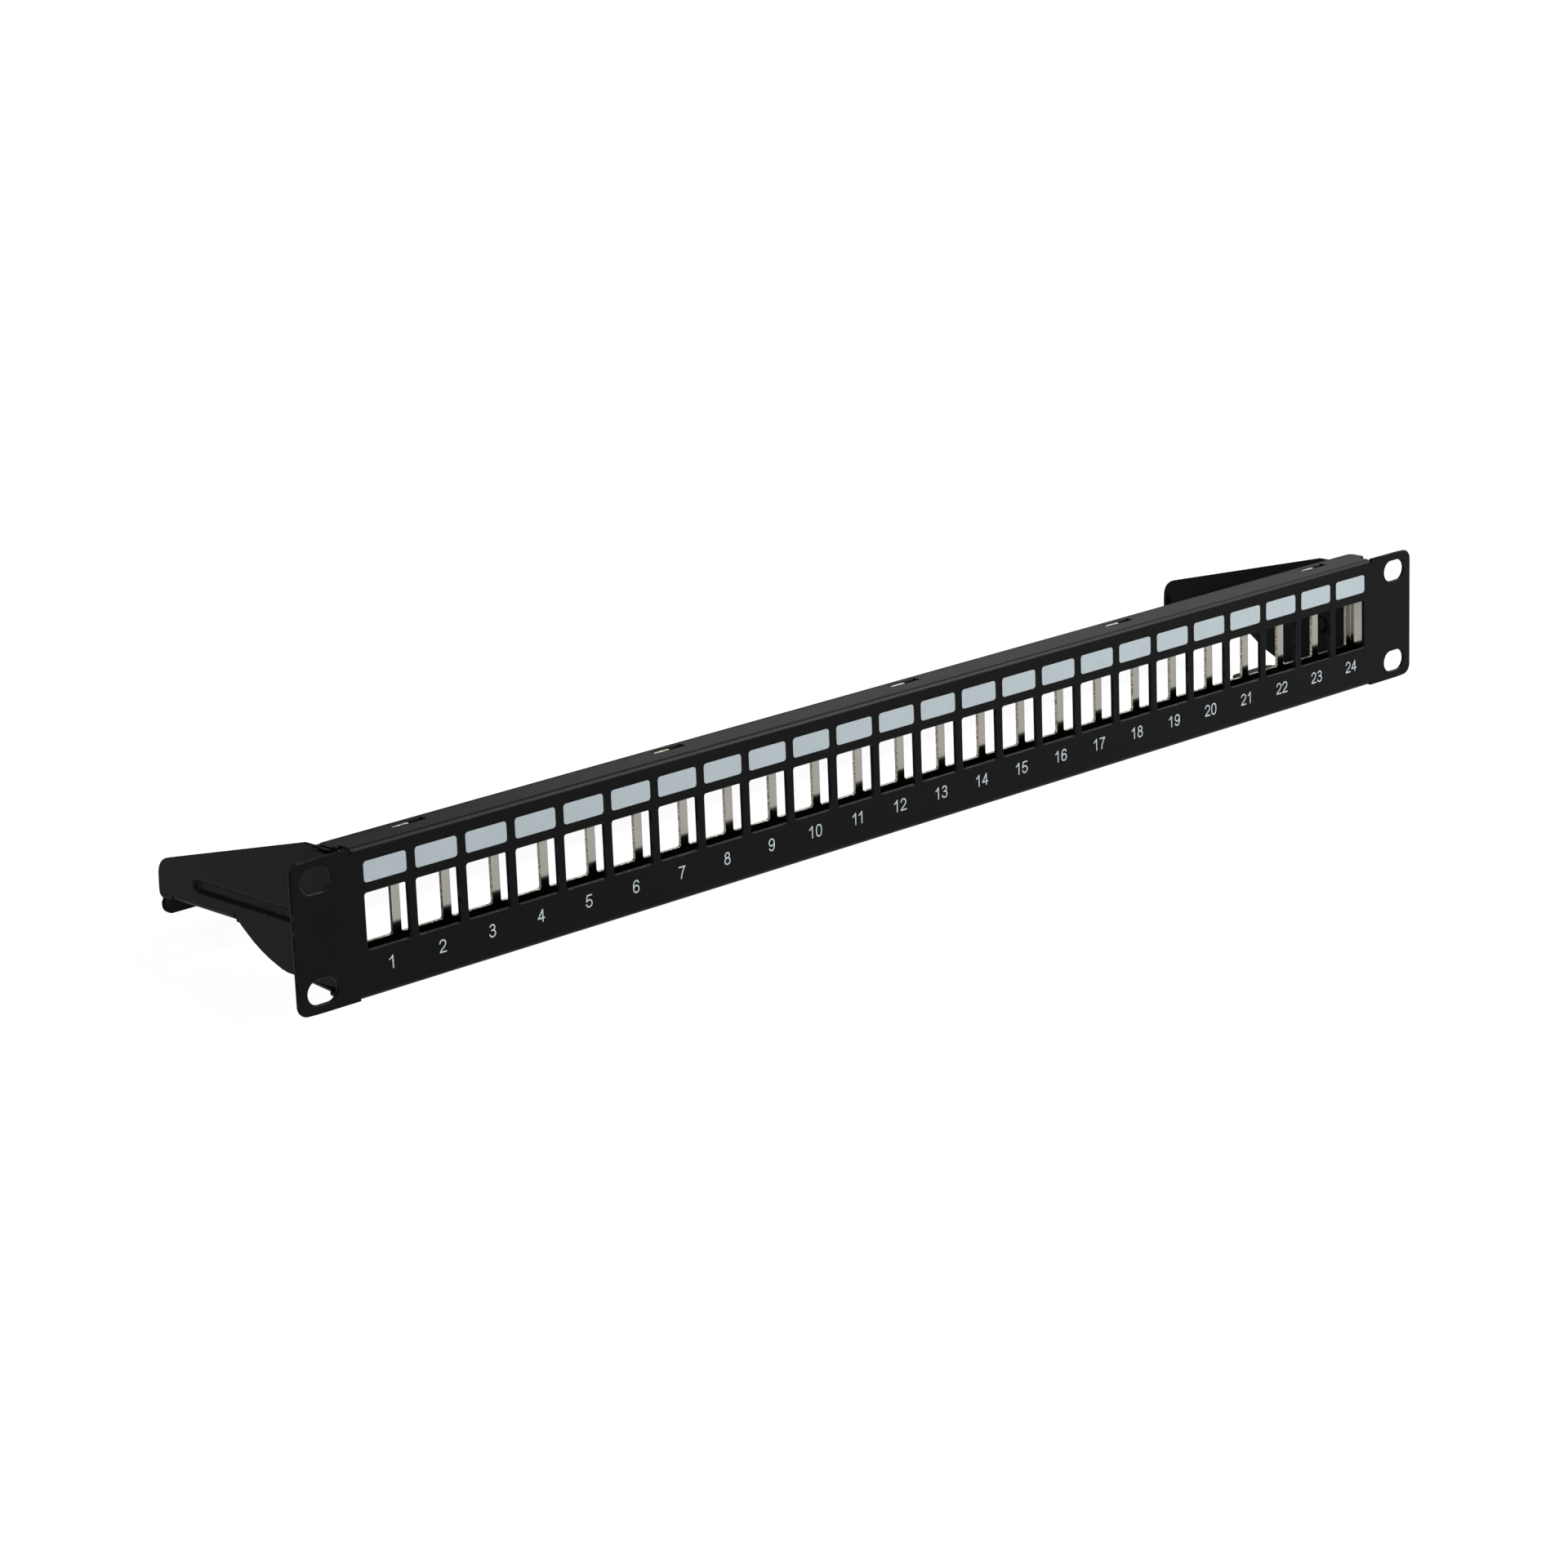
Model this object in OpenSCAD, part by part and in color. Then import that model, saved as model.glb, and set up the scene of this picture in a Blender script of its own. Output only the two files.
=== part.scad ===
// 24-port keystone patch panel, 1 rack unit high, unloaded, with a metal latch frame
// and a rear cable manager.
// Origin: centre of the rack-slot pattern, on the back face of the ears, which is the face
// that seats on the rack rails. +X to the right seen from the front, +Y to the rear, +Z up.

/* [Panel] */
// Overall width across the ears
panel_w = 482.6; // [480:0.1:484]
// Height of the panel
panel_h = 44; // [43.6:0.1:44.4]
// Thickness of the coated steel sheet
sheet_t = 1.2; // [1:0.1:1.4]
// Outside radius of the sheet's bends
bend_r = 1.8; // [1.6:0.1:2.2]
// Corner radius of the ears
ear_r = 3.5; // [2:0.5:5]
// Half width of the bent section between the ears
bent_half = 219.8; // [219.6:0.1:220]
// Half width across the lugs at the rear of the two flanges
lug_half = 222.7; // [222:0.1:223]
// Depth of the flanges behind the panel's back face
flange_y = 10.2; // [9.8:0.1:10.6]

/* [Rack slots] */
// Distance between the slots' centres across the rack
rack_x = 465.1; // [465.1]
// Distance between the slots' centres up the rack
rack_z = 31.75; // [31.75]
// End-to-end length of a slot
slot_len = 10.3; // [9:0.1:11]
// Height of a slot
slot_h = 7; // [6.5:0.1:7.2]

/* [Ports] */
// Number of ports
port_count = 24; // [24]
// Distance between the ports' centres
port_pitch = 18.15; // [18:0.01:18.3]
// Width of a port window
port_w = 14.8; // [14.5:0.1:15]
// Height of a port window
port_h = 16.2; // [16:0.1:16.5]
// Height of the windows' centre above the panel's middle
port_z = 0.1; // [0:0.1:0.5]

/* [Label fields] */
// Width of a write-on label
label_w = 15; // [14:0.1:16]
// Height of a write-on label
label_h = 6.1; // [5.5:0.1:6.5]
// Height of the labels' centre above the panel's middle
label_z = 14.35; // [14:0.05:14.6]
// Thickness of a label
label_t = 0.12; // [0.1:0.01:0.2]

/* [Latch frame] */
// Thickness of the plated latch frame
frame_t = 1; // [0.8:0.1:1.2]
// Distance from the panel's back face to the frame
frame_y = 6.65; // [6.4:0.05:6.8]
// Half width of the frame across its end tabs
frame_half = 219.4; // [219:0.1:219.6]
// Width of a latch cut-out
cut_w = 15; // [14.8:0.1:15.2]
// Height of a latch cut-out
cut_h = 17.2; // [17:0.1:17.6]
// Number of hanging tabs along each long edge
tab_count = 5; // [3:2:5]
// Distance between the hanging tabs
tab_pitch = 98.1; // [97:0.1:99]
// Width of a hanging tab
tab_w = 6; // [5:0.5:7]
// How far the frame can slide to the right
slide_travel = 5.5; // [4:0.5:6]

/* [Cable manager] */
// Half width across the arms
arm_half = 219.8; // [219.6:0.1:220]
// Rear edge of the arms
arm_rear_y = 91.9; // [91.5:0.1:94]
// Front edge of the arms
arm_front_y = 8.9; // [8.6:0.1:9.2]
// Where the arms' top edge starts to slope down
slope_start_y = 21; // [20:0.1:22]
// Slope of the arms' top edge, in degrees
slope_deg = 14.6; // [13:0.1:15]
// Front edge of the cable tray
tray_front_y = 56.2; // [55.5:0.1:57]
// Underside of the cable tray
tray_z = -10.4; // [-11:0.1:-10]
// Lower edge of the lip behind the tray
lip_z = -15.7; // [-17:0.1:-15]
// Number of pairs of cable-tie slots in the tray
tie_pairs = 24; // [12:1:24]

/* [Hidden] */
$fn = 48;
front_y = -sheet_t;
half_h = panel_h / 2;
// How far cutting and joining shapes run past the faces they meet
over = 1;
coat = [0.13, 0.13, 0.14];
nickel = [0.70, 0.69, 0.65];
zinc = [0.62, 0.63, 0.64];
paper = [0.66, 0.71, 0.74];

// Relief slits between the ears and the top flange's bend
slit_w = 0.6;
slit_depth = 1.7;
// Notch that separates each flange lug from its ear
lug_front_y = 3.4;
lug_r = 1.8;
lug_relief_r = 0.6;
// Slots in both flanges for the latch frame's hanging tabs
tab_slot_play = 0.25;
tab_slot_len = tab_w + slide_travel + 2 * tab_slot_play;
tab_slot_depth = 3;
// Tongues of the bottom flange that carry the cable manager
tongue_y = 42;
tongue_r = 3;
tongue_outer_front = 220.5;
tongue_outer_rear = 216.8;
tongue_inner_front = 193;
tongue_inner_rear = 196;
// Screws of the cable manager and the stud for the ground wire
screw_x = 212.2;
screw_y = 24.8;
screw_r = 1.95;
tapped_r = 2;
clearance_r = 2.25;
stud_x = -201.2;
stud_y = 30;
stud_head_r = 2.7;
stud_play = 0.02;
stud_r = 2;
stud_len = 9;
// The stud's neck, inside its washer and nut, and its free end above them
stud_neck_r = 1.6;
stud_free = 5;
// Pan heads and plain washers of the screws
head_r = 4;
head_h = 2.4;
head_crown_r = 5.2;
recess_len = 4;
recess_w = 0.8;
recess_depth = 1.3;
washer_bore_r = 2.15;
washer_r = 4.3;
washer_t = 0.8;
// Toothed washer and nut on the stud
ground_washer_r = 3.4;
ground_washer_t = 0.6;
tooth_count = 10;
tooth_w = 1;
tooth_reach = 0.7;
nut_flats = 7;
nut_h = 3.2;
nut_bore_r = 1.65;
nut_crown_r = 4.25;

port_r = 0.8;
label_r = 1;
cut_r = 0.8;
frame_half_h = 20.5;
frame_bend_r = 1.5;
frame_r = 1;
tab_reach = 21.9;
tab_r = 0.4;
end_tab_h = 37;
end_tab_gap = 0.4;
end_tab_notch = 2.2;

// Arm outline, in the Y-Z plane
arm_top_z = 19.5;
arm_bottom_z = -half_h + sheet_t;
gusset_r = 44.5;
gusset_y = 23.9;
gusset_z = 22.8;
gusset_end_y = 54;
rear_r = 6;
rear_low_r = 2;
// How far the sloping edge ends inside the rear corner's arc, so that the two cross cleanly
edge_inset = 0.005;
rear_bottom_y = 86;
// Feet of the arms: the top one lies under the top flange, the low one on the tongue
foot_bend_r = 1.4;
foot_in = 10;
foot_r = 1.5;
top_foot_end_y = 16.5;
low_foot_y = 20.2;
low_foot_len = 9.2;
// Relief slits at the front ends of the tray's two bends
relief_w = 1.4;
relief_past = 0.4;
// Pressed stiffening rib of an arm
rib_z = -3.4;
rib_y0 = 19;
rib_y1 = 72.7;
rib_face = 2.1;
rib_floor = 0.95;
rib_depth = 1.1;
rib_wall = 1;
// Lip behind the tray
lip_y = 91.2;
lip_r = 3;
lip_top_r = 1.2;
// Cable-tie slots
tie_w = 2.6;
tie_len = 7;
tie_gap = 9.6;
tie_y = 70;

function label_name(k) = str("label_", k < 10 ? "0" : "", k);
function port_x(k) = (k - (port_count + 1) / 2) * port_pitch;
function tab_x(i) = (i - (tab_count - 1) / 2) * tab_pitch;

// ---- 2-D helpers ----

// Rectangle with four round corners, centred
module round_rect(w, h, r) {
    square([w - 2 * r, h], center = true);
    square([w, h - 2 * r], center = true);
    for (sx = [-1, 1], sy = [-1, 1])
        translate([sx * (w / 2 - r), sy * (h / 2 - r)])
            circle(r);
}

// Slot with round ends, long side along X, centred
module obround(len, h) {
    square([len - h, h], center = true);
    for (s = [-1, 1])
        translate([s * (len - h) / 2, 0])
            circle(d = h);
}

// Quarter ring between two radii, in the +X +Y quadrant
module quarter_ring(r, t) {
    intersection() {
        difference() {
            circle(r);
            circle(r - t);
        }
        square(r + over);
    }
}

// ---- 3-D helpers ----

// Stands a shape drawn in X-Z up as a sheet, from y0 to y0 + t
module sheet_xz(y0, t) {
    translate([0, y0 + t, 0])
        rotate([90, 0, 0])
            linear_extrude(t)
                children();
}

// Lays a shape drawn in Y-Z out along +X, from x0 to x0 + len
module sheet_yz(x0, len) {
    translate([x0, 0, 0])
        rotate([90, 0, 90])
            linear_extrude(len)
                children();
}

module both_ends() {
    children();
    mirror([1, 0, 0])
        children();
}

module both_edges() {
    children();
    mirror([0, 0, 1])
        children();
}

// ---- Front panel ----

module face_outline() {
    round_rect(panel_w, panel_h, ear_r);
}

// Strip cut from the flat face where the sheet is bent back, along the top edge
module bend_clearance() {
    translate([-bent_half, half_h - bend_r])
        square([2 * bent_half, bend_r + over]);
}

// The slits at the two ends of the top flange's bend
module bend_slits() {
    for (s = [-1, 1])
        translate([s * (bent_half + slit_w / 2), half_h])
            square([slit_w, 2 * slit_depth], center = true);
}

// Plan view of a flange with its lugs, in X-Y
module flange_plan() {
    difference() {
        union() {
            translate([-bent_half, front_y + bend_r])
                square([2 * bent_half, flange_y - front_y - bend_r]);
            translate([0, (lug_front_y + flange_y) / 2])
                round_rect(2 * lug_half, flange_y - lug_front_y, lug_r);
        }
        for (s = [-1, 1])
            translate([s * (bent_half + lug_relief_r), lug_front_y])
                circle(lug_relief_r);
    }
}

// Tongue of the bottom flange behind the right end, in X-Y
module tongue_plan() {
    for (p = [[tongue_outer_rear - tongue_r, tongue_y - tongue_r],
              [tongue_inner_rear + tongue_r, tongue_y - tongue_r]])
        translate(p)
            circle(tongue_r);
    polygon([
        [tongue_inner_front, flange_y - over],
        [tongue_outer_front, flange_y - over],
        [tongue_outer_rear, tongue_y - tongue_r],
        [tongue_outer_rear - tongue_r, tongue_y],
        [tongue_inner_rear + tongue_r, tongue_y],
        [tongue_inner_rear, tongue_y - tongue_r]
    ]);
}

module tab_slots() {
    for (i = [0 : tab_count - 1])
        translate([tab_x(i) - tab_w / 2 - tab_slot_play, frame_y + frame_t / 2 - tab_slot_depth / 2, 0])
            square([tab_slot_len, tab_slot_depth]);
}

// Rounded edge between the face and the top flange
module top_bend() {
    sheet_yz(-bent_half, 2 * bent_half)
        translate([front_y + bend_r, half_h - bend_r])
            mirror([1, 0])
                quarter_ring(bend_r, sheet_t);
}

module front_panel() {
    color(coat) {
        sheet_xz(front_y, sheet_t)
            difference() {
                face_outline();
                bend_clearance();
                mirror([0, 1])
                    bend_clearance();
                bend_slits();
                for (k = [1 : port_count])
                    translate([port_x(k), port_z])
                        round_rect(port_w, port_h, port_r);
                for (sx = [-1, 1], sz = [-1, 1])
                    translate([sx * rack_x / 2, sz * rack_z / 2])
                        obround(slot_len, slot_h);
            }
        both_edges()
            top_bend();
        translate([0, 0, half_h - sheet_t])
            linear_extrude(sheet_t)
                difference() {
                    flange_plan();
                    tab_slots();
                }
        translate([0, 0, -half_h])
            linear_extrude(sheet_t)
                difference() {
                    union() {
                        flange_plan();
                        both_ends()
                            tongue_plan();
                    }
                    tab_slots();
                    for (s = [-1, 1])
                        translate([s * screw_x, screw_y])
                            circle(tapped_r);
                    translate([stud_x, stud_y])
                        circle(stud_head_r + stud_play);
                }
    }
}

// ---- Latch frame ----

// Flat pattern of the frame, without its end tabs
module frame_outline() {
    flat_half = frame_half - frame_bend_r;
    difference() {
        union() {
            round_rect(2 * flat_half, 2 * frame_half_h, frame_r);
            for (i = [0 : tab_count - 1])
                translate([tab_x(i), 0])
                    round_rect(tab_w, 2 * tab_reach, tab_r);
        }
        for (k = [1 : port_count])
            translate([port_x(k), 0])
                round_rect(cut_w, cut_h, cut_r);
    }
}

// Tab bent forward along the right end of the frame
module end_tab() {
    bend_y = frame_y + frame_t - frame_bend_r;
    translate([frame_half - frame_bend_r, bend_y, -end_tab_h / 2])
        linear_extrude(end_tab_h)
            quarter_ring(frame_bend_r, frame_t);
    sheet_yz(frame_half - frame_t, frame_t)
        translate([end_tab_gap, 0])
            difference() {
                translate([0, -end_tab_h / 2])
                    square([bend_y - end_tab_gap, end_tab_h]);
                for (s = [-1, 1])
                    translate([0, s * end_tab_h / 2])
                        rotate(45)
                            square(end_tab_notch, center = true);
            }
}

module latch_frame() {
    color(nickel) {
        sheet_xz(frame_y, frame_t)
            frame_outline();
        both_ends()
            end_tab();
    }
}

// ---- Cable manager ----

// Side view of an arm in Y-Z, before its bends are taken off
module arm_outline() {
    slope = tan(slope_deg);
    rear_c = [arm_rear_y - rear_r,
              arm_top_z - (arm_rear_y - rear_r - slope_start_y) * slope - rear_r / cos(slope_deg)];
    low_c = [arm_rear_y - rear_low_r, tray_z + rear_low_r];
    translate(rear_c)
        circle(rear_r);
    translate(low_c)
        circle(rear_low_r);
    polygon([
        [arm_front_y, arm_bottom_z],
        [gusset_y, arm_bottom_z],
        [gusset_y, tray_z],
        [low_c[0], tray_z],
        [arm_rear_y, low_c[1]],
        [arm_rear_y, rear_c[1]],
        rear_c + (rear_r - edge_inset) * [sin(slope_deg), cos(slope_deg)],
        [slope_start_y, arm_top_z],
        [arm_front_y, arm_top_z]
    ]);
    intersection() {
        translate([gusset_y, gusset_z])
            circle(gusset_r, $fn = 96);
        translate([gusset_y - over, arm_bottom_z])
            square([gusset_end_y - gusset_y + over, tray_z - arm_bottom_z + over]);
    }
}

// What is taken off the arm's flat outline where its bends are
module arm_bend_clearance() {
    translate([tray_front_y, tray_z - over])
        square([rear_bottom_y - tray_front_y, bend_r + over]);
    translate([tray_front_y - relief_w, tray_z - over])
        square([relief_w, bend_r + relief_past + over]);
    translate([arm_front_y - over, arm_top_z - foot_bend_r])
        square([top_foot_end_y - arm_front_y + over, foot_bend_r + over]);
    translate([low_foot_y, arm_bottom_z - over])
        square([low_foot_len, foot_bend_r + over]);
}

// Pressed rib: a frustum stretched along Y, its wide side at x = 0, rising along +X
module rib_body(base, top, rise) {
    translate([0, rib_y1, rib_z])
        rotate([90, 0, 0])
            linear_extrude(rib_y1 - rib_y0)
                polygon([[0, -base], [0, base], [rise, top], [rise, -top]]);
    for (y = [rib_y0, rib_y1])
        translate([0, y, rib_z])
            rotate([0, 90, 0])
                cylinder(h = rise, r1 = base, r2 = top);
}

// One foot on the right arm's top edge: a bend along Y and the flat that it turns into
module foot(y0, len, edge_z) {
    bend_x = arm_half - foot_bend_r;
    translate([bend_x, y0 + len, edge_z - foot_bend_r])
        rotate([90, 0, 0])
            linear_extrude(len)
                quarter_ring(foot_bend_r, sheet_t);
    translate([bend_x - foot_in, y0, edge_z - sheet_t])
        linear_extrude(sheet_t) {
            translate([foot_r, 0])
                square([foot_in - foot_r, len]);
            translate([0, foot_r])
                square([foot_in, len - 2 * foot_r]);
            for (y = [foot_r, len - foot_r])
                translate([foot_r, y])
                    circle(foot_r);
        }
}

module arm() {
    wall = rib_face + rib_wall;
    difference() {
        union() {
            sheet_yz(arm_half - sheet_t, sheet_t)
                difference() {
                    arm_outline();
                    arm_bend_clearance();
                }
            translate([arm_half - sheet_t, 0, 0])
                mirror([1, 0, 0])
                    rib_body(wall, wall - rib_depth, rib_depth);
        }
        translate([arm_half, 0, 0])
            mirror([1, 0, 0])
                rib_body(rib_face, rib_floor, rib_depth);
    }
    foot(arm_front_y, top_foot_end_y - arm_front_y, arm_top_z);
    difference() {
        mirror([0, 0, 1])
            foot(low_foot_y, low_foot_len, -arm_bottom_z);
        translate([screw_x, screw_y, arm_bottom_z - over])
            cylinder(h = sheet_t + 2 * over, r = clearance_r);
    }
    translate([arm_half - bend_r, rear_bottom_y, tray_z + bend_r])
        rotate([90, 0, 0])
            linear_extrude(rear_bottom_y - tray_front_y)
                mirror([0, 1])
                    quarter_ring(bend_r, sheet_t);
}

module tie_slots() {
    step = port_pitch * port_count / tie_pairs;
    for (i = [1 : tie_pairs], s = [-1, 1])
        translate([(i - (tie_pairs + 1) / 2) * step + s * tie_gap / 2, tie_y])
            rotate(90)
                obround(tie_len, tie_w);
}

module tray() {
    tray_half = arm_half - bend_r;
    lip_bend_y = lip_y - bend_r;
    lip_bend_z = tray_z + sheet_t - bend_r;
    translate([0, 0, tray_z])
        linear_extrude(sheet_t)
            difference() {
                translate([-tray_half, tray_front_y])
                    square([2 * tray_half, lip_bend_y - tray_front_y]);
                tie_slots();
            }
    sheet_yz(-tray_half, 2 * tray_half)
        translate([lip_bend_y, lip_bend_z])
            quarter_ring(bend_r, sheet_t);
    sheet_xz(lip_y - sheet_t, sheet_t)
        lip_outline(lip_bend_z);
}

// The hanging lip: square at the bend, round at its four outer corners
module lip_outline(top_z) {
    lip_h = top_z - lip_z;
    translate([0, (lip_z + top_z) / 2])
        union() {
            square([2 * (arm_half - lip_r), lip_h], center = true);
            translate([0, (lip_r - lip_top_r) / 2])
                square([2 * arm_half, lip_h - lip_r - lip_top_r], center = true);
            for (s = [-1, 1]) {
                translate([s * (arm_half - lip_r), lip_r - lip_h / 2])
                    circle(lip_r);
                translate([s * (arm_half - lip_top_r), lip_h / 2 - lip_top_r])
                    circle(lip_top_r);
            }
        }
}

module cable_manager() {
    color(coat) {
        both_ends()
            arm();
        tray();
    }
}

// ---- Fasteners ----

// Pan-head screw with a cross recess, its seat at z = 0
module pan_screw(reach) {
    translate([0, 0, -reach])
        cylinder(h = reach, r = screw_r);
    difference() {
        intersection() {
            cylinder(h = head_h, r = head_r);
            translate([0, 0, head_h - head_crown_r])
                sphere(head_crown_r, $fn = 64);
        }
        for (a = [0, 90])
            rotate(a)
                translate([-recess_len / 2, -recess_w / 2, head_h - recess_depth])
                    cube([recess_len, recess_w, recess_depth + over]);
    }
}

module washer(r_in, r_out, t) {
    difference() {
        cylinder(h = t, r = r_out);
        translate([0, 0, -over])
            cylinder(h = t + 2 * over, r = r_in);
    }
}

module at_manager_screws() {
    for (s = [-1, 1])
        translate([s * screw_x, screw_y, arm_bottom_z + sheet_t])
            children();
}

module manager_screws() {
    color(zinc)
        at_manager_screws()
            translate([0, 0, washer_t])
                pan_screw(washer_t + 2 * sheet_t);
}

module manager_washers() {
    color(zinc)
        at_manager_screws()
            washer(washer_bore_r, washer_r, washer_t);
}

// ---- Ground terminal ----

module ground_stud() {
    color(zinc)
        translate([stud_x, stud_y, -half_h]) {
            cylinder(h = sheet_t, r = stud_head_r);
            cylinder(h = sheet_t + stud_len, r = stud_neck_r);
            translate([0, 0, sheet_t + stud_len - stud_free])
                cylinder(h = stud_free, r = stud_r);
        }
}

// Toothed lock washer: a ring with short teeth around its rim
module ground_washer() {
    color(zinc)
        translate([stud_x, stud_y, arm_bottom_z]) {
            washer(washer_bore_r, ground_washer_r, ground_washer_t);
            for (k = [1 : tooth_count])
                rotate(k * 360 / tooth_count)
                    translate([washer_bore_r + tooth_reach, -tooth_w / 2, 0])
                        cube([ground_washer_r - washer_bore_r, tooth_w, ground_washer_t]);
        }
}

module ground_nut() {
    color(zinc)
        translate([stud_x, stud_y, arm_bottom_z + ground_washer_t])
            difference() {
                intersection() {
                    cylinder(h = nut_h, d = nut_flats / cos(30), $fn = 6);
                    translate([0, 0, nut_h / 2])
                        sphere(nut_crown_r, $fn = 64);
                }
                translate([0, 0, -over])
                    cylinder(h = nut_h + 2 * over, r = nut_bore_r);
            }
}

// ---- Labels ----

module label(k) {
    color(paper)
        translate([port_x(k), 0, label_z])
            sheet_xz(front_y - label_t, label_t)
                round_rect(label_w, label_h, label_r);
}

front_panel();
latch_frame();
cable_manager();
manager_screws();
manager_washers();
ground_stud();
ground_washer();
ground_nut();
for (k = [1 : port_count])
    label(k);
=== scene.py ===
"""Looks of a 24-port keystone patch panel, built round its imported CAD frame.

Lengths are in metres. +X is to the right seen from the front, +Y to the rear, +Z up, and the origin is
the centre of the rack-slot pattern, on the back face of the ears.
"""

import math

import bmesh
import bpy
import numpy as np
from mathutils import Matrix, Vector


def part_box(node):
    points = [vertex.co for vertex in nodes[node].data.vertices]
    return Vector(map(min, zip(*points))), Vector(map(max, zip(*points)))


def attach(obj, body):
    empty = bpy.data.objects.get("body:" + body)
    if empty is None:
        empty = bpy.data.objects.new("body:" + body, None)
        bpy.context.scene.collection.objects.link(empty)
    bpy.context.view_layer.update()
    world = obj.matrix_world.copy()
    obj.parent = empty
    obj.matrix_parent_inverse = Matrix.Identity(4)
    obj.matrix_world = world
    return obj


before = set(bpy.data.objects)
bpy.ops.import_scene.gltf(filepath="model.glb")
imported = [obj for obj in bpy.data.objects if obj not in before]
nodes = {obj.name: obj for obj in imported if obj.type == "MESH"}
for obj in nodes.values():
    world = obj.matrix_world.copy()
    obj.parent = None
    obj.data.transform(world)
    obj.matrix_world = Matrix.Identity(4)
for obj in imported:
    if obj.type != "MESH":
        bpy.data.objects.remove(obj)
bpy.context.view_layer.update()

MM = 0.001
SCENE = bpy.context.scene
PORTS = 24
PANEL = "panel"          # the body that the front panel is part of
FRONT_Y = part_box("front_panel")[0].y
FLOOR_GAP = 0.05 * MM    # between the panel's lower edge and the floor
FLOOR_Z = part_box("front_panel")[0].z - FLOOR_GAP


# ---- Node helpers ----


def new_material(name):
    """A material with an empty tree."""
    material = bpy.data.materials.new(name)
    material.use_nodes = True
    material.node_tree.nodes.clear()
    return material


def add(tree, kind, inputs=None, **settings):
    """Adds a node. inputs maps a socket's name or index to a value or to the socket that feeds it."""
    made = tree.nodes.new("ShaderNode" + kind)
    for name, value in settings.items():
        setattr(made, name, value)
    for key, value in (inputs or {}).items():
        socket = made.inputs[key]
        if isinstance(value, bpy.types.NodeSocket):
            tree.links.new(value, socket)
        else:
            socket.default_value = value
    return made


def place(tree, stretch=(1, 1, 1)):
    """The object's own coordinates, in metres, stretched along each axis."""
    coords = add(tree, "TexCoord").outputs["Object"]
    return add(tree, "Mapping", {"Vector": coords, "Scale": stretch}).outputs["Vector"]


def noise(tree, where, scale, detail=2.0, rough=0.5):
    inputs = {"Vector": where, "Scale": scale, "Detail": detail, "Roughness": rough}
    return add(tree, "TexNoise", inputs).outputs["Fac"]


def calc(tree, operation, a, b):
    return add(tree, "Math", {0: a, 1: b}, operation=operation).outputs[0]


def spread(tree, value, low, high, to_low=0.0, to_high=1.0):
    """Maps low..high to to_low..to_high, clamped."""
    inputs = {"Value": value, "From Min": low, "From Max": high, "To Min": to_low, "To Max": to_high}
    return add(tree, "MapRange", inputs).outputs["Result"]


def mix(tree, share, a, b):
    """Blends two colours. Inputs 6 and 7 and output 2 are the node's colour sockets."""
    return add(tree, "Mix", {0: share, 6: a, 7: b}, data_type="RGBA").outputs[2]


def bump(tree, height, strength, distance, normal=None):
    inputs = {"Height": height, "Strength": strength, "Distance": distance}
    if normal is not None:
        inputs["Normal"] = normal
    return add(tree, "Bump", inputs).outputs["Normal"]


def shade(material, inputs):
    """Ends the material's tree with one Principled shader."""
    tree = material.node_tree
    shader = add(tree, "BsdfPrincipled", inputs)
    output = add(tree, "OutputMaterial")
    tree.links.new(shader.outputs["BSDF"], output.inputs["Surface"])
    return material


def grey(level, red=1.0, blue=1.0):
    return (level * red, level, level * blue, 1)


def specks(tree, where, scale, radius, share):
    """Sparse round specks: 1 inside a speck of that radius, for that share of the cells."""
    cells = add(tree, "TexVoronoi", {"Vector": where, "Scale": scale})
    pick = add(tree, "SeparateColor", {"Color": cells.outputs["Color"]}).outputs["Red"]
    rim = radius * scale
    inside = spread(tree, cells.outputs["Distance"], rim * SPECK_CORE, rim, 1, 0)
    return calc(tree, "MULTIPLY", inside, calc(tree, "LESS_THAN", pick, share))


# ---- Materials ----

# Base colours and gloss are tuned to this scene's floor and lights, not measured on real coat and plate
COAT_BLACK = 0.0016
COAT_GLOSS = 0.062       # specular level
COAT_DUST = 0.16
# Lighter grey of the rubbed spots on the coat's rounded edges: partly wear, partly a painted highlight along
# the edges
COAT_RUBBED_AND_LIT = 0.05
EDGE_WEAR_AND_HIGHLIGHT = 0.35         # how strongly the coat's lighter rubbed spots show on its rounded edges: wear, and a painted highlight on the edges
NICKEL_TINTS = ((0.30, 0.293, 0.262, 1), (0.34, 0.332, 0.297, 1))
SHEARED_TINTS = ((0.13, 0.105, 0.08, 1), (0.46, 0.41, 0.35, 1))
ZINC_TINTS = ((0.52, 0.54, 0.56, 1), (0.68, 0.68, 0.66, 1))
# Dark grey painted into the thread's roots as the shade in its grooves
THREAD_ROOT_SHADE = (0.2, 0.2, 0.2, 1)
LABEL_INK = 0.36
NUMBER_INK = 0.41
SPECK_CORE = 0.6         # share of a speck's radius that is solid
THREAD_PITCH = 0.7 * MM
STUD_FREE = 4.9 * MM     # threaded length of the ground stud


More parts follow.
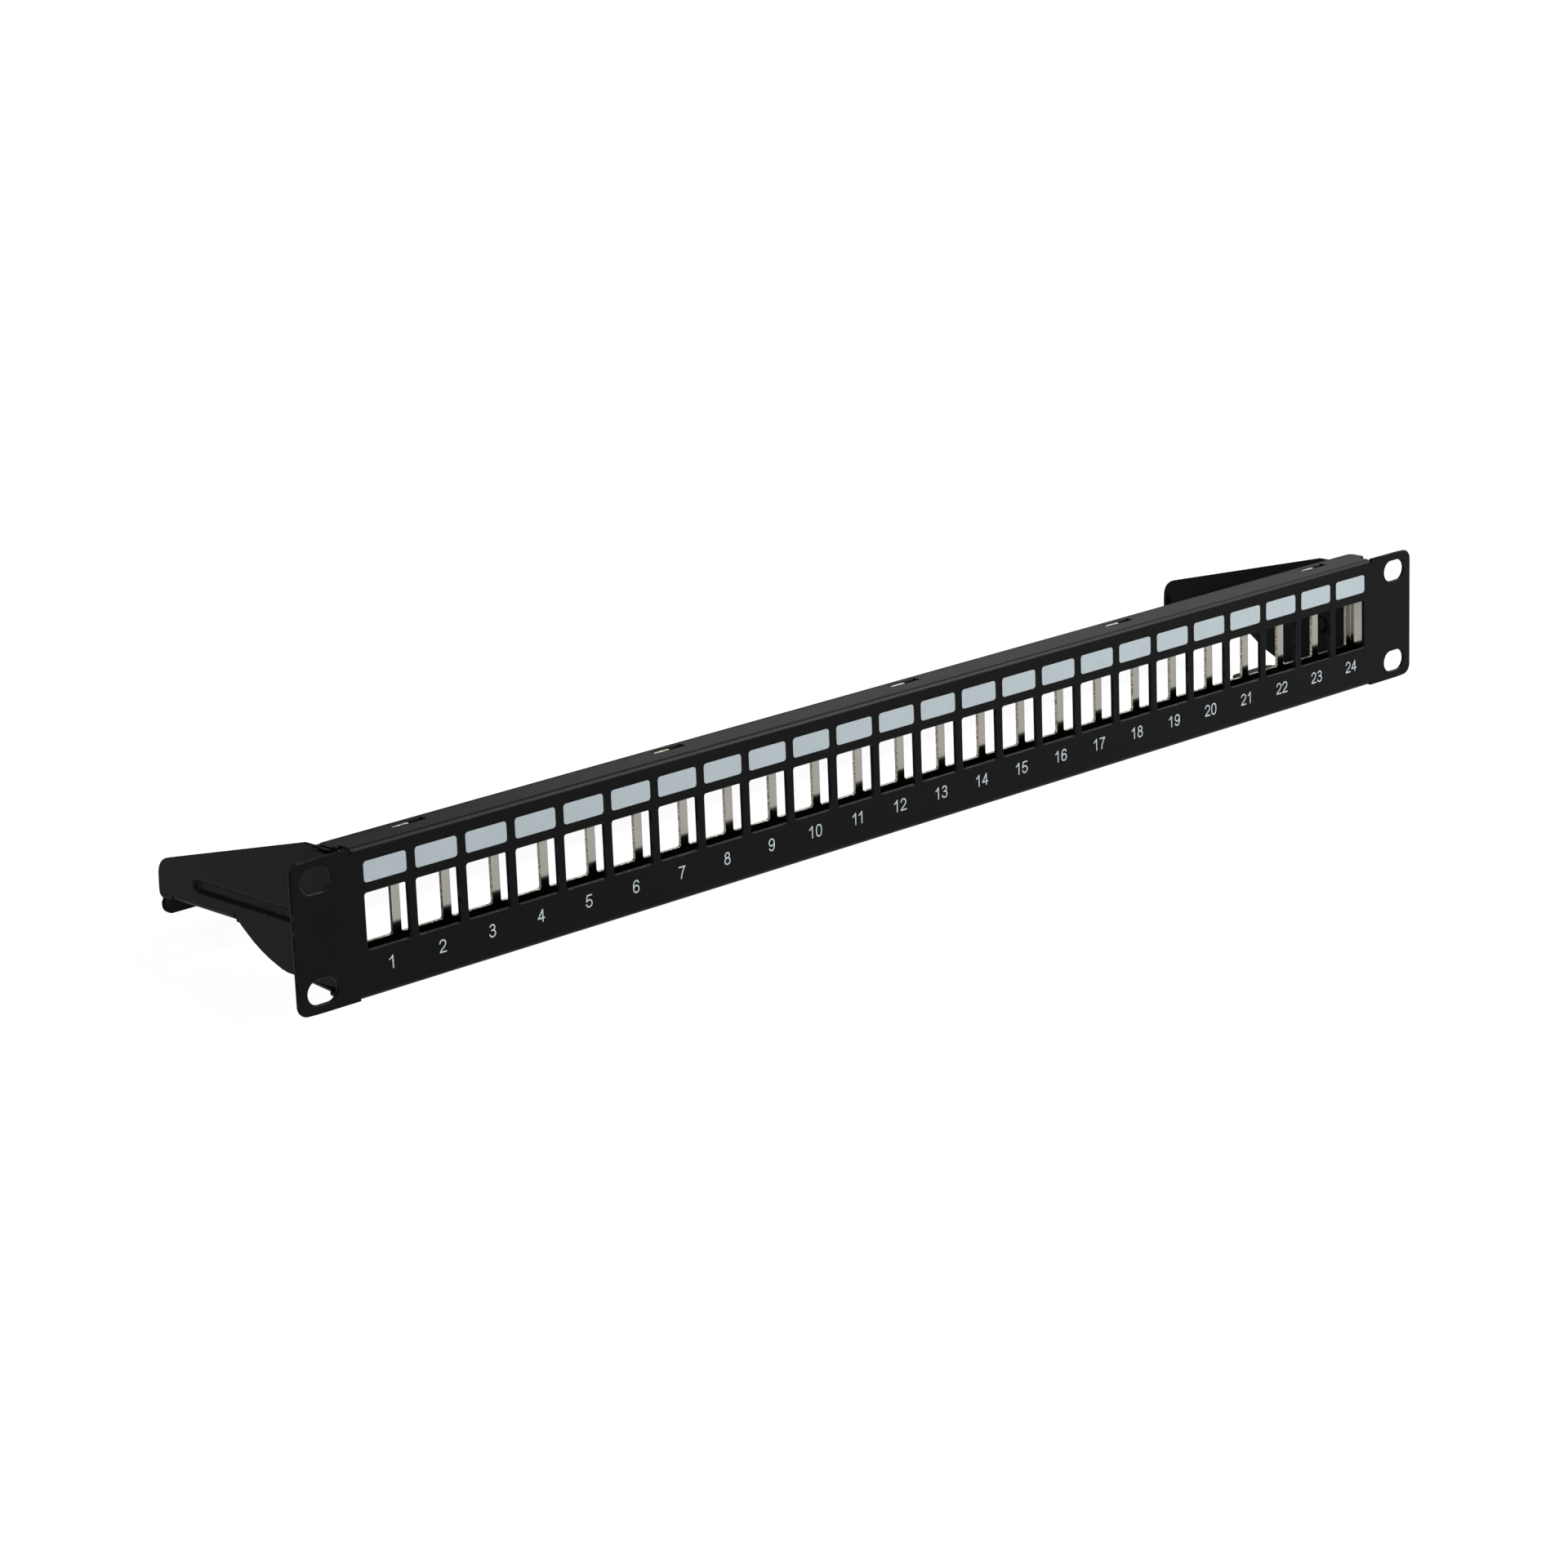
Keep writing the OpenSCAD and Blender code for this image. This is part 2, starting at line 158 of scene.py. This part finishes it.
def powder_coat(name="powder_coat_black", worn_and_lit=0.0):
    """Satin powder coat: a fine orange peel with a grain on top, faint mottling and a few dust specks. Its
    worn variant adds lighter rubbed spots, which are partly wear and partly a painted highlight.
    """
    material = new_material(name)
    tree = material.node_tree
    where = place(tree)
    mottle = noise(tree, where, scale=55, detail=3)
    peel = noise(tree, where, scale=900)
    grain = noise(tree, where, scale=2600, rough=0.6)
    coarse_dust = specks(tree, where, scale=90, radius=0.16 * MM, share=0.16)
    fine_dust = specks(tree, where, scale=260, radius=0.09 * MM, share=0.05)
    dust = calc(tree, "MAXIMUM", coarse_dust, fine_dust)
    black = mix(tree, mottle, grey(COAT_BLACK * 0.8, 1.0, 1.1), grey(COAT_BLACK * 1.3, 1.0, 1.16))
    colour = mix(tree, calc(tree, "MULTIPLY", dust, 0.6), black, grey(COAT_DUST, 1.05, 0.9))
    # Lighter rubbed patches: wear, and also a painted highlight on the rounded edges that take this material
    if worn_and_lit:
        patches = noise(tree, where, scale=420, detail=4, rough=0.65)
        rub_and_highlight = spread(tree, patches, 0.5, 0.72, 0, worn_and_lit)
        colour = mix(tree, rub_and_highlight, colour, grey(COAT_RUBBED_AND_LIT))
    rough = spread(tree, grain, 0.3, 0.7, 0.40, 0.52)
    normal = bump(tree, peel, strength=0.55, distance=0.06 * MM)
    normal = bump(tree, grain, strength=0.45, distance=0.02 * MM, normal=normal)
    return shade(material, {
        "Base Color": colour,
        "Roughness": rough,
        "Specular IOR Level": COAT_GLOSS,
        "Normal": normal,
    })


def nickel(name="nickel_plate_bright", sheared=False):
    """Nickel plate on rolled sheet. Its sheared edges are torn in streaks along the sheet's thickness."""
    material = new_material(name)
    tree = material.node_tree
    where = place(tree)
    cloud = noise(tree, where, scale=120, detail=3)
    rolled = noise(tree, place(tree, (0.12, 1, 1)), scale=5200)
    tint = mix(tree, cloud, *NICKEL_TINTS)
    rough = spread(tree, cloud, 0.3, 0.7, 0.11, 0.16)
    normal = bump(tree, rolled, strength=0.08, distance=0.006 * MM)
    if sheared:
        tear = noise(tree, place(tree, (1, 0.35, 1)), scale=2400, detail=4, rough=0.7)
        pits = spread(tree, tear, 0.42, 0.58)
        tint = mix(tree, pits, *SHEARED_TINTS)
        rough = spread(tree, tear, 0.35, 0.65, 0.55, 0.30)
        normal = bump(tree, tear, strength=0.8, distance=0.06 * MM)
    return shade(material, {"Base Color": tint, "Metallic": 1.0, "Roughness": rough, "Normal": normal})


def thread(tree, stud):
    """Height of a screw thread on a stud that stands along Z: a ridge that winds round its free end."""
    low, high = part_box(stud)
    axis = (-(low.x + high.x) / 2, -(low.y + high.y) / 2, 0)
    centred = add(tree, "Mapping", {"Vector": place(tree), "Location": axis}).outputs["Vector"]
    at = add(tree, "SeparateXYZ", {0: centred})
    turn = calc(tree, "DIVIDE", calc(tree, "ARCTAN2", at.outputs["Y"], at.outputs["X"]), 2 * math.pi)
    wound = calc(tree, "SUBTRACT", calc(tree, "DIVIDE", at.outputs["Z"], THREAD_PITCH), turn)
    ridge = calc(tree, "PINGPONG", wound, 0.5)
    free = calc(tree, "GREATER_THAN", at.outputs["Z"], high.z - STUD_FREE)
    return calc(tree, "MULTIPLY", ridge, free)


def zinc(name="zinc_plate_bright", stud=None):
    """Bright zinc plate with a faint bloom. It is threaded if it is on a stud, with painted shade in the
    thread's roots.
    """
    material = new_material(name)
    tree = material.node_tree
    where = place(tree)
    bloom = noise(tree, where, scale=700, detail=3)
    tint = mix(tree, bloom, *ZINC_TINTS)
    normal = bump(tree, noise(tree, where, scale=3000), strength=0.15, distance=0.02 * MM)
    if stud:
        ridge = thread(tree, stud)
        normal = bump(tree, ridge, strength=1.0, distance=THREAD_PITCH, normal=normal)
        # Painted shade: darker colour in the thread's roots, where the grooves would be shaded
        tint = mix(tree, spread(tree, ridge, 0.0, 0.2), THREAD_ROOT_SHADE, tint)
    return shade(material, {
        "Base Color": tint,
        "Metallic": 1.0,
        "Roughness": spread(tree, bloom, 0.3, 0.7, 0.24, 0.42),
        "Normal": normal,
    })


def ink(name, level):
    """Pale blue-grey screen ink: a fine grain, thin spots and a matt surface."""
    material = new_material(name)
    tree = material.node_tree
    where = place(tree)
    grain = noise(tree, where, scale=2700, detail=3, rough=0.6)
    cloud = noise(tree, where, scale=90)
    thin = mix(tree, cloud, grey(level * 0.93, 0.875, 1.06), grey(level * 1.04, 0.875, 1.06))
    tint = mix(tree, spread(tree, grain, 0.35, 0.65, 0, 0.3), thin, grey(level * 0.68, 0.87, 1.07))
    return shade(material, {
        "Base Color": tint,
        "Roughness": spread(tree, grain, 0.3, 0.7, 0.55, 0.7),
        "Specular IOR Level": 0.25,
        "Normal": bump(tree, grain, strength=0.25, distance=0.02 * MM),
    })


COAT = powder_coat()
# The rounded rims' coat: its lighter rubbed spots are partly wear, partly a painted highlight along the
# edges
COAT_EDGE_WORN_AND_LIT = powder_coat("powder_coat_edge_worn_and_lit", worn_and_lit=EDGE_WEAR_AND_HIGHLIGHT)
NICKEL = nickel()
NICKEL_EDGE = nickel("nickel_plate_sheared", sheared=True)
ZINC = zinc()
THREADED = zinc("zinc_plate_threaded", "ground_stud")
LABEL = ink("label_field", LABEL_INK)
PRINT = ink("printed_number", NUMBER_INK)


# ---- CAD nodes: soft edges and finishes ----

TAB_REACH = 1.1 * MM     # from the latch frame's end to just past its end tab's inner face
CUT_LEAN = 0.3           # a face is a cut one if its normal has less than this across the sheet
JOIN = 0.001 * MM        # vertices this near are one
FLAT = 0.2               # greatest angle between faces that are merged, in degrees
SHARP = 38               # least angle of an edge that is rounded, in degrees
PANEL_EDGE = 0.5 * MM
MANAGER_EDGE = 0.25 * MM
FRAME_EDGE = 0.1 * MM
FASTENER_EDGE = 0.06 * MM
LABEL_EDGE = 0.02 * MM

# Places whose edges stay sharp: |x|, y and z ranges, in millimetres. Rounding makes spikes at the small
# features, and at the flanges' slots it opens a view of the floor
SPARED = {
    "front_panel": [
        ((217.0, 223.4), (-2.0, 45.0), (17.0, 23.0)),     # slits and lugs at the top bend's ends
        ((217.0, 221.5), (-2.0, 45.0), (-23.0, -17.0)),   # lugs and tongues at the bottom bend's ends
        ((0.0, 217.0), (4.0, 10.4), (17.0, 23.0)),        # the top flange's slots
        ((0.0, 217.0), (4.0, 10.4), (-23.0, -17.0)),      # the bottom flange's slots
    ],
    "cable_manager": [
        ((0.0, 221.0), (8.0, 19.0), (17.0, 20.0)),        # the arms' top feet
        ((0.0, 221.0), (18.0, 31.0), (-22.0, -18.0)),     # and their low feet
        ((0.0, 221.0), (51.0, 56.0), (-14.0, -8.0)),      # front ends of the tray's bends
        ((0.0, 221.0), (84.0, 93.0), (-24.0, -8.0)),      # its rear ends and the lip
    ],
}


def mark_sharp(piece):
    """Marks for rounding the edges where faces meet sharply, but for those in a spared place.
    The faces' borders are matched by place, as each face has its own vertices."""
    mesh = piece.data
    spots = [tuple(round(c / JOIN) for c in v.co) for v in mesh.vertices]
    around = {}
    for face in mesh.polygons:
        for a, b in face.edge_keys:
            around.setdefault(frozenset((spots[a], spots[b])), []).append(face.normal)

    def spared(spot):
        at = [c * JOIN / MM for c in (abs(spot[0]), spot[1], spot[2])]
        return any(all(low <= c <= high for c, (low, high) in zip(at, ranges))
                   for ranges in SPARED.get(piece.name, []))

    marks = mesh.attributes.new("bevel_weight_edge", "FLOAT", "EDGE")
    for edge in mesh.edges:
        a, b = (spots[v] for v in edge.vertices)
        pair = around[frozenset((a, b))]
        sharp = len(pair) == 2 and pair[0].dot(pair[1]) < math.cos(math.radians(SHARP))
        marks.data[edge.index].value = float(sharp and not spared(a) and not spared(b))


def soften(piece, width, rim, segments):
    """Welds the tessellated solid, merges its flat faces and rounds its marked edges by modifiers.
    The rounded rims take the material in slot rim."""
    weld = piece.modifiers.new("weld", "WELD")
    weld.merge_threshold = JOIN
    flat = piece.modifiers.new("flat_faces", "DECIMATE")
    flat.decimate_type = "DISSOLVE"
    flat.angle_limit = math.radians(FLAT)
    edge = piece.modifiers.new("soft_edges", "BEVEL")
    edge.width = width
    edge.segments = segments
    edge.limit_method = "WEIGHT"
    edge.material = rim
    edge.use_clamp_overlap = False
    edge.loop_slide = False
    edge.miter_outer = "MITER_ARC"
    smooth = piece.modifiers.new("even_shading", "WEIGHTED_NORMAL")
    smooth.mode = "FACE_AREA"
    smooth.weight = 100


def finish_node(name, materials, width, segments=2):
    """Gives a CAD node its materials, smooth shading and soft edges."""
    piece = nodes[name]
    mesh = piece.data
    mesh.materials.clear()
    for material in materials:
        mesh.materials.append(material)
    custom = mesh.attributes.get("custom_normal")
    if custom is not None:
        mesh.attributes.remove(custom)
    mesh.polygons.foreach_set("use_smooth", [True] * len(mesh.polygons))
    mesh.polygons.foreach_set("material_index", [0] * len(mesh.polygons))
    mark_sharp(piece)
    soften(piece, width, len(materials) - 1, segments)


def shear_edges(piece, slot):
    """Puts the sheet's cut faces in their own material slot: those that don't face along Y on the plate,
    and those that don't face along X on its two end tabs."""
    low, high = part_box(piece.name)
    for face in piece.data.polygons:
        on_tab = abs(face.center.x) > high.x - TAB_REACH and face.center.y < high.y - TAB_REACH
        across = face.normal.x if on_tab else face.normal.y
        if abs(across) < CUT_LEAN:
            face.material_index = slot


def label_name(k):
    return f"label_{k:02d}"


def finish_cad():
    finish_node("front_panel", [COAT, COAT_EDGE_WORN_AND_LIT], PANEL_EDGE, segments=4)
    finish_node("cable_manager", [COAT, COAT_EDGE_WORN_AND_LIT], MANAGER_EDGE, segments=3)
    finish_node("latch_frame", [NICKEL, NICKEL_EDGE], FRAME_EDGE)
    shear_edges(nodes["latch_frame"], slot=1)
    finish_node("ground_stud", [THREADED], FASTENER_EDGE)
    for name in ("manager_screws", "manager_washers", "ground_washer", "ground_nut"):
        finish_node(name, [ZINC], FASTENER_EDGE)
    for k in range(1, PORTS + 1):
        finish_node(label_name(k), [LABEL], LABEL_EDGE, segments=1)


# ---- Printed port numbers ----

EM = 5.5 * MM            # type size
ADVANCE = 0.556          # of a digit, in ems
ONE_ONE_KERN = -0.074    # added to the step between the ones of 11, in ems
STROKE = 0.077           # width of a stroke, in ems
CAP_TOP = 0.707          # height of a digit, in ems
PRINT_T = 0.03 * MM      # thickness of the ink
PRINT_Z = -13.4 * MM     # middle of the numbers
PRINT_SHIFT = 0.5 * MM   # to the right of a port's middle
GRID = 0.011             # cell of the grid that traces the outlines, in ems
MERGE = 0.02             # corners nearer than this share of a cell are one
STRAIGHT = 4             # least bend that an outline keeps, in degrees


def arc(cx, cy, rx, ry, start, end, power=2.0, steps=28):
    """Points along a superellipse, angles in degrees."""
    points = []
    for i in range(steps + 1):
        a = math.radians(start + (end - start) * i / steps)
        c, s = math.cos(a), math.sin(a)
        points.append((cx + rx * math.copysign(abs(c) ** (2 / power), c),
                       cy + ry * math.copysign(abs(s) ** (2 / power), s)))
    return points


def sweep(a, b, c, d, steps=12):
    """Points along a cubic curve."""
    def at(t):
        w = ((1 - t) ** 3, 3 * t * (1 - t) ** 2, 3 * t * t * (1 - t), t ** 3)
        return tuple(sum(k * p[i] for k, p in zip(w, (a, b, c, d))) for i in (0, 1))
    return [at(i / steps) for i in range(steps + 1)]


def half_turn(strokes):
    """The strokes turned by 180 degrees in the digit's cell."""
    return [[(ADVANCE - x, CAP_TOP - y) for x, y in path] for path in strokes]


SIX = [
    arc(0.28, 0.222, 0.187, 0.190, 0, 360),
    arc(0.29, 0.353, 0.200, 0.322, 36, 195, 2.2),
]
DIGITS = {
    "0": [arc(0.276, 0.353, 0.190, 0.322, 0, 360, 2.5, 48)],
    "1": [sweep((0.125, 0.515), (0.20, 0.55), (0.28, 0.61), (0.329, 0.68)),
          [(0.329, 0.675), (0.329, 0.035)]],
    "2": [arc(0.268, 0.487, 0.188, 0.188, 170, -12)
          + sweep((0.450, 0.43), (0.40, 0.28), (0.14, 0.20), (0.085, 0.044)),
          [(0.085, 0.044), (0.480, 0.044)]],
    "3": [arc(0.262, 0.530, 0.160, 0.145, 158, -90), [(0.205, 0.385), (0.262, 0.385)],
          arc(0.262, 0.2085, 0.190, 0.1765, 90, -166)],
    "4": [[(0.369, 0.035), (0.369, 0.668)], [(0.055, 0.212), (0.480, 0.212)],
          [(0.055, 0.212), (0.369, 0.668)]],
    "5": [[(0.455, 0.663), (0.145, 0.663), (0.098, 0.345)], arc(0.265, 0.2250, 0.195, 0.193, 142, -166)],
    "6": SIX,
    "7": [[(0.070, 0.663), (0.480, 0.663)],
          sweep((0.480, 0.663), (0.36, 0.53), (0.23, 0.30), (0.205, 0.035))],
    "8": [arc(0.276, 0.530, 0.152, 0.145, 0, 360), arc(0.276, 0.2085, 0.188, 0.1765, 0, 360)],
    "9": half_turn(SIX),
}


def ink_field(strokes, xs, ys):
    """How far inside the ink each grid point lies: half the stroke's width less its distance to a stroke."""
    px, py = np.meshgrid(xs, ys, indexing="ij")
    nearest = np.full(px.shape, 1e9)
    for path in strokes:
        for (ax, ay), (bx, by) in zip(path, path[1:]):
            dx, dy = bx - ax, by - ay
            along = np.clip(((px - ax) * dx + (py - ay) * dy) / max(dx * dx + dy * dy, 1e-12), 0, 1)
            nearest = np.minimum(nearest, np.hypot(px - ax - along * dx, py - ay - along * dy))
    return STROKE / 2 - nearest


def trace(bm, field, xs, ys, to_point):
    """Fills the part of each grid cell where the field is positive. The faces share their corners."""
    made = {}

    def corner(key, x, y):
        if key not in made:
            made[key] = bm.verts.new(to_point(x, y))
        return made[key]

    for i in range(len(xs) - 1):
        for j in range(len(ys) - 1):
            ring = [(i, j), (i + 1, j), (i + 1, j + 1), (i, j + 1)]
            if max(field[p] for p in ring) <= 0:
                continue
            face = []
            for p, q in zip(ring, ring[1:] + ring[:1]):
                f, g = field[p], field[q]
                if f > 0:
                    face.append(corner(p, xs[p[0]], ys[p[1]]))
                if (f > 0) != (g > 0):
                    t = f / (f - g)
                    x = xs[p[0]] + (xs[q[0]] - xs[p[0]]) * t
                    y = ys[p[1]] + (ys[q[1]] - ys[p[1]]) * t
                    face.append(corner(tuple(sorted((p, q))), x, y))
            if len(set(face)) >= 3:
                bm.faces.new(face)


def number_strokes(text):
    """The strokes of a number set with its middle at x = 0, in ems."""
    step = ADVANCE + (ONE_ONE_KERN if text == "11" else 0)
    start = -(ADVANCE + step * (len(text) - 1)) / 2
    return [[(start + i * step + x, y) for x, y in path]
            for i, digit in enumerate(text) for path in DIGITS[digit]]


def port_x(k):
    """The middle of a port, which is its label's, to the nearest micrometre."""
    low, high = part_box(label_name(k))
    return round((low.x + high.x) / 2, 6)


def make_number(k):
    """One printed number, a thin raised film of ink on the panel's face."""
    strokes = number_strokes(str(k))
    reach = max(abs(x) for path in strokes for x, _ in path) + STROKE
    middle = port_x(k) + PRINT_SHIFT
    xs = np.arange(-reach, reach, GRID)
    ys = np.arange(-STROKE, CAP_TOP + STROKE, GRID)

    def to_point(x, y):
        return (middle + x * EM, FRONT_Y, PRINT_Z + (y - CAP_TOP / 2) * EM)

    bm = bmesh.new()
    trace(bm, ink_field(strokes, xs, ys), xs, ys, to_point)
    bmesh.ops.remove_doubles(bm, verts=bm.verts, dist=MERGE * GRID * EM)
    bmesh.ops.dissolve_limit(bm, angle_limit=math.radians(STRAIGHT), verts=bm.verts, edges=bm.edges)
    top = bmesh.ops.extrude_face_region(bm, geom=bm.faces[:])["geom"]
    for part in top:
        if isinstance(part, bmesh.types.BMVert):
            part.co.y -= PRINT_T
    bmesh.ops.recalc_face_normals(bm, faces=bm.faces)
    bmesh.ops.triangulate(bm, faces=bm.faces)
    mesh = bpy.data.meshes.new(f"port_number_{k:02d}")
    bm.to_mesh(mesh)
    bm.free()
    mesh.materials.append(PRINT)
    piece = bpy.data.objects.new(mesh.name, mesh)
    SCENE.collection.objects.link(piece)
    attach(piece, PANEL)


# ---- Floor, light and camera ----

FLOOR_HALF = 14.0        # half of the floor's side
FLOOR_TINT = 0.09
FLOOR_GLOW = 0.95        # strength of the floor's own light


def make_floor():
    """A large pale floor. Nearly all of its brightness is its own light, so that the shadow on it stays
    faint, and it lights the object from below."""
    mesh = bpy.data.meshes.new("floor")
    signs = [(-1, -1), (1, -1), (1, 1), (-1, 1)]
    corners = [(x * FLOOR_HALF, y * FLOOR_HALF, FLOOR_Z) for x, y in signs]
    mesh.from_pydata(corners, [], [(0, 1, 2, 3)])
    floor = bpy.data.objects.new("floor", mesh)
    SCENE.collection.objects.link(floor)
    material = new_material("floor_pale")
    shade(material, {
        "Base Color": grey(FLOOR_TINT),
        "Roughness": 0.9,
        "Specular IOR Level": 0.0,
        "Emission Color": grey(1.0),
        "Emission Strength": FLOOR_GLOW,
    })
    mesh.materials.append(material)


def make_world():
    """Soft studio air: dim all round, and brighter to the right and overhead."""
    world = bpy.data.worlds.new("studio")
    SCENE.world = world
    world.use_nodes = True
    tree = world.node_tree
    tree.nodes.clear()
    way = add(tree, "SeparateXYZ", {0: add(tree, "TexCoord").outputs["Generated"]})
    side = spread(tree, way.outputs["X"], 0.35, 0.9, 0.03, 0.22)
    high = spread(tree, way.outputs["Z"], 0.45, 0.95, 0.0, 0.3)
    level = calc(tree, "ADD", side, high)
    back = add(tree, "Background", {"Color": level, "Strength": 1.0})
    output = add(tree, "OutputWorld")
    tree.links.new(back.outputs[0], output.inputs["Surface"])


def softbox(name, at, target, width, height, watts):
    """A rectangular soft light that points at the target."""
    light = bpy.data.lights.new(name, "AREA")
    light.shape = "RECTANGLE"
    light.size = width
    light.size_y = height
    light.energy = watts
    lamp = bpy.data.objects.new(name, light)
    lamp.location = at
    lamp.rotation_mode = "QUATERNION"
    lamp.rotation_quaternion = (Vector(target) - Vector(at)).to_track_quat("-Z", "Y")
    SCENE.collection.objects.link(lamp)


def make_lights():
    softbox("key", at=(1.15, -0.8, 1.2), target=(0.1, 0, 0), width=1.0, height=0.8, watts=72)
    softbox("rim", at=(2.4, 1.5, 1.3), target=(0.1, 0, 0), width=2.4, height=1.4, watts=17)
    softbox("left", at=(-2.2, 0.8, 0.9), target=(-0.2, 0.05, 0), width=1.2, height=0.8, watts=26)
    softbox("top", at=(0.0, 0.3, 2.4), target=(0, 0.1, 0), width=3.0, height=2.4, watts=10)


CAMERA_AT = (-0.90812, -0.91182, 0.35736)
CAMERA_YAW = 0.7516      # radians to the right of +Y
CAMERA_PITCH = 0.2761    # radians below the horizon
CAMERA_ROLL = -0.0381    # radians anticlockwise, seen from behind the camera
CAMERA_LENS = 99.41      # in millimetres, as is the sensor
CAMERA_SENSOR = 36.0


def make_camera():
    """The camera at the photograph's viewing angle."""
    data = bpy.data.cameras.new("camera")
    data.lens = CAMERA_LENS
    data.sensor_width = CAMERA_SENSOR
    data.clip_start = 0.05
    data.clip_end = 50
    camera = bpy.data.objects.new("camera", data)
    ahead = Vector((math.sin(CAMERA_YAW) * math.cos(CAMERA_PITCH),
                    math.cos(CAMERA_YAW) * math.cos(CAMERA_PITCH),
                    -math.sin(CAMERA_PITCH)))
    right = Vector((math.cos(CAMERA_YAW), -math.sin(CAMERA_YAW), 0))
    up = right.cross(ahead)
    turned_right = math.cos(CAMERA_ROLL) * right + math.sin(CAMERA_ROLL) * up
    turned_up = math.cos(CAMERA_ROLL) * up - math.sin(CAMERA_ROLL) * right
    axes = Matrix((turned_right, turned_up, -ahead)).transposed()
    camera.matrix_world = Matrix.Translation(CAMERA_AT) @ axes.to_4x4()
    SCENE.collection.objects.link(camera)
    SCENE.camera = camera


# ---- The whole scene ----

SCENE.view_settings.view_transform = "Standard"
make_camera()
make_floor()
make_world()
make_lights()
finish_cad()
for port in range(1, PORTS + 1):
    make_number(port)
